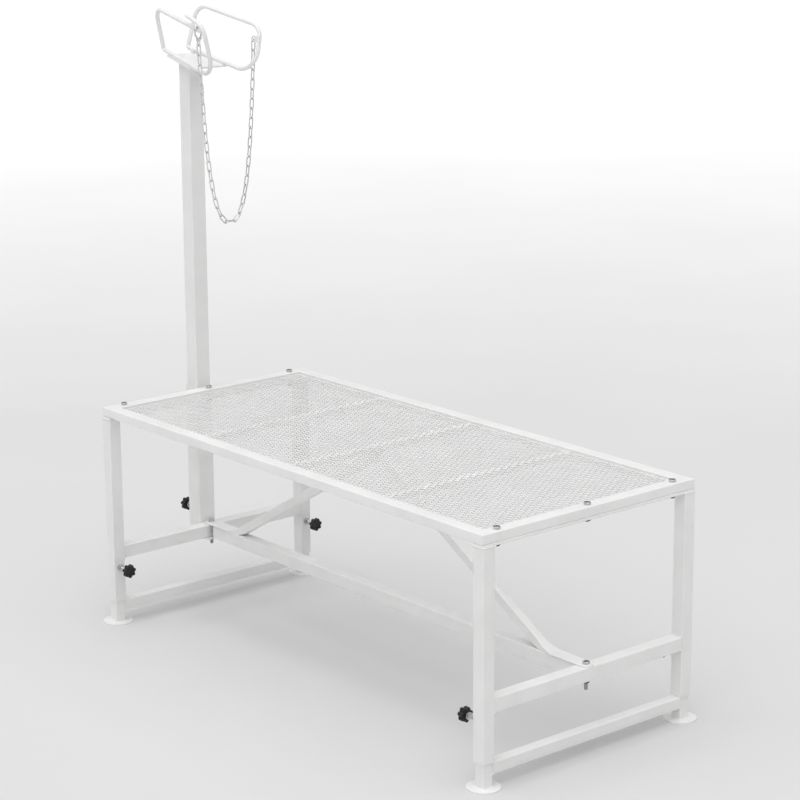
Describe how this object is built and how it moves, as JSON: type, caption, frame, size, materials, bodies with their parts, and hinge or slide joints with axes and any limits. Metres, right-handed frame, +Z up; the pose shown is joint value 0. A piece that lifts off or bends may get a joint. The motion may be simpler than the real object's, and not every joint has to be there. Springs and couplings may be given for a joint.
{
  "type": "livestock grooming stand",
  "caption": "Grooming stand for sheep and goats: expanded-metal deck on telescoping legs, with a head piece and neck chain on a post that lifts out.",
  "frame": {"origin": "on the floor, at the middle of the outer box", "axes": "+X along the deck from the head end to the tail end, +Y across the deck, +Z up"},
  "size_m": [1.4114, 0.624, 1.4153],
  "materials": {
    "white_powder_coat": "semi-gloss powder coat",
    "white_mesh": "semi-gloss powder coat on expanded steel",
    "black_oxide_steel": "black oxide",
    "zinc_plated_steel": "bright zinc plate",
    "galvanised_chain": "galvanised",
    "black_plastic": "moulded, lightly textured"
  },
  "bodies": {
    "stand": {"deck_rail_front": "white_powder_coat", "deck_rail_rear": "white_powder_coat", "deck_rail_head": "white_powder_coat", "deck_rail_tail": "white_powder_coat", "deck_cross_bar_head": "white_powder_coat", "deck_cross_bar_middle": "white_powder_coat", "deck_cross_bar_tail": "white_powder_coat", "deck_mesh": "white_mesh", "leg_tube_head_front": "white_powder_coat", "leg_tube_head_rear": "white_powder_coat", "leg_tube_tail_front": "white_powder_coat", "leg_tube_tail_rear": "white_powder_coat", "top_bar_head": "white_powder_coat", "top_bar_tail": "white_powder_coat", "mid_rail_head": "white_powder_coat", "mid_rail_tail": "white_powder_coat", "stretcher": "white_powder_coat", "brace_head": "white_powder_coat", "brace_tail": "white_powder_coat", "post_sleeve": "white_powder_coat", "post_bracket": "white_powder_coat", "clamp_weld_nuts": "zinc_plated_steel", "deck_bolts": "zinc_plated_steel", "deck_nuts": "black_oxide_steel", "stretcher_bolts": "zinc_plated_steel", "stretcher_nuts": "black_oxide_steel"},
    "head_leg_frame": {"inner_tube_head_front": "white_powder_coat", "inner_tube_head_rear": "white_powder_coat", "foot_rail_head": "white_powder_coat", "foot_plates_head": "white_powder_coat"},
    "tail_leg_frame": {"inner_tube_tail_front": "white_powder_coat", "inner_tube_tail_rear": "white_powder_coat", "foot_rail_tail": "white_powder_coat", "foot_plates_tail": "white_powder_coat"},
    "head_piece": {"head_post": "white_powder_coat", "neck_plate": "white_powder_coat", "neck_loop_right": "white_powder_coat", "neck_loop_left": "white_powder_coat", "plate_peg": "white_powder_coat", "chain_eye": "white_powder_coat"},
    "chain_swing": {"neck_chain": "galvanised_chain", "snap_hook": "galvanised_chain"},
    "gate": {"snap_gate": "galvanised_chain"},
    "screw_head_front": {"washer_head_front": "zinc_plated_steel"},
    "knob_head_front": {"stud_head_front": "zinc_plated_steel", "knob_head_front": "black_plastic"},
    "screw_head_rear": {"washer_head_rear": "zinc_plated_steel"},
    "knob_head_rear": {"stud_head_rear": "zinc_plated_steel", "knob_head_rear": "black_plastic"},
    "screw_tail_front": {"washer_tail_front": "zinc_plated_steel"},
    "knob_tail_front": {"stud_tail_front": "zinc_plated_steel", "knob_tail_front": "black_plastic"},
    "screw_tail_rear": {"washer_tail_rear": "zinc_plated_steel"},
    "knob_tail_rear": {"stud_tail_rear": "zinc_plated_steel", "knob_tail_rear": "black_plastic"},
    "screw_post": {"washer_post": "zinc_plated_steel"},
    "knob_post": {"stud_post": "zinc_plated_steel", "knob_post": "black_plastic"}
  },
  "joints": [
    {"name": "head_legs_height", "type": "slide", "parent": "stand", "child": "head_leg_frame", "axis": [0, 0, -1], "range_m": [0, 0.15]},
    {"name": "tail_legs_height", "type": "slide", "parent": "stand", "child": "tail_leg_frame", "axis": [0, 0, -1], "range_m": [0, 0.15]},
    {"name": "head_piece_lift", "type": "slide", "parent": "stand", "child": "head_piece", "axis": [0, 0, 1], "range_m": [0, 0.35]},
    {"name": "chain_swing", "type": "hinge", "parent": "head_piece", "child": "chain_swing", "pos_m": [-0.49072, -0.08123, 1.38525], "axis": [0, 0.968, -0.251], "range_deg": [0, 15]},
    {"name": "snap_gate", "type": "hinge", "parent": "chain_swing", "child": "gate", "pos_m": [-0.49072, -0.07523, 1.35925], "axis": [1, 0, 0], "range_deg": [0, 20], "stiffness_Nm_per_rad": 0.05, "springref_deg": -11.46},
    {"name": "head_front_screw_travel", "type": "slide", "parent": "stand", "child": "screw_head_front", "axis": [1, 0, 0], "range_m": [0, 0.005]},
    {"name": "head_front_knob_turn", "type": "hinge", "parent": "screw_head_front", "child": "knob_head_front", "pos_m": [-0.54675, -0.277, 0.136], "axis": [1, 0, 0], "range_deg": [0, 1440]},
    {"name": "head_rear_screw_travel", "type": "slide", "parent": "stand", "child": "screw_head_rear", "axis": [1, 0, 0], "range_m": [0, 0.005]},
    {"name": "head_rear_knob_turn", "type": "hinge", "parent": "screw_head_rear", "child": "knob_head_rear", "pos_m": [-0.54675, 0.277, 0.136], "axis": [1, 0, 0], "range_deg": [0, 1440]},
    {"name": "tail_front_screw_travel", "type": "slide", "parent": "stand", "child": "screw_tail_front", "axis": [-1, 0, 0], "range_m": [0, 0.005]},
    {"name": "tail_front_knob_turn", "type": "hinge", "parent": "screw_tail_front", "child": "knob_tail_front", "pos_m": [0.61725, -0.277, 0.136], "axis": [-1, 0, 0], "range_deg": [0, 1440]},
    {"name": "tail_rear_screw_travel", "type": "slide", "parent": "stand", "child": "screw_tail_rear", "axis": [-1, 0, 0], "range_m": [0, 0.005]},
    {"name": "tail_rear_knob_turn", "type": "hinge", "parent": "screw_tail_rear", "child": "knob_tail_rear", "pos_m": [0.61725, 0.277, 0.136], "axis": [-1, 0, 0], "range_deg": [0, 1440]},
    {"name": "post_screw_travel", "type": "slide", "parent": "stand", "child": "screw_post", "axis": [-1, 0, 0], "range_m": [0, 0.005]},
    {"name": "post_knob_turn", "type": "hinge", "parent": "screw_post", "child": "knob_post", "pos_m": [-0.69875, 0, 0.211], "axis": [-1, 0, 0], "range_deg": [0, 1440]}
  ],
  "couplings": [
    {"joint": "head_front_knob_turn", "follows": "head_front_screw_travel", "rad_per_m": 5026.5},
    {"joint": "head_rear_knob_turn", "follows": "head_rear_screw_travel", "rad_per_m": 5026.5},
    {"joint": "tail_front_knob_turn", "follows": "tail_front_screw_travel", "rad_per_m": 5026.5},
    {"joint": "tail_rear_knob_turn", "follows": "tail_rear_screw_travel", "rad_per_m": 5026.5},
    {"joint": "post_knob_turn", "follows": "post_screw_travel", "rad_per_m": 5026.5}
  ]
}
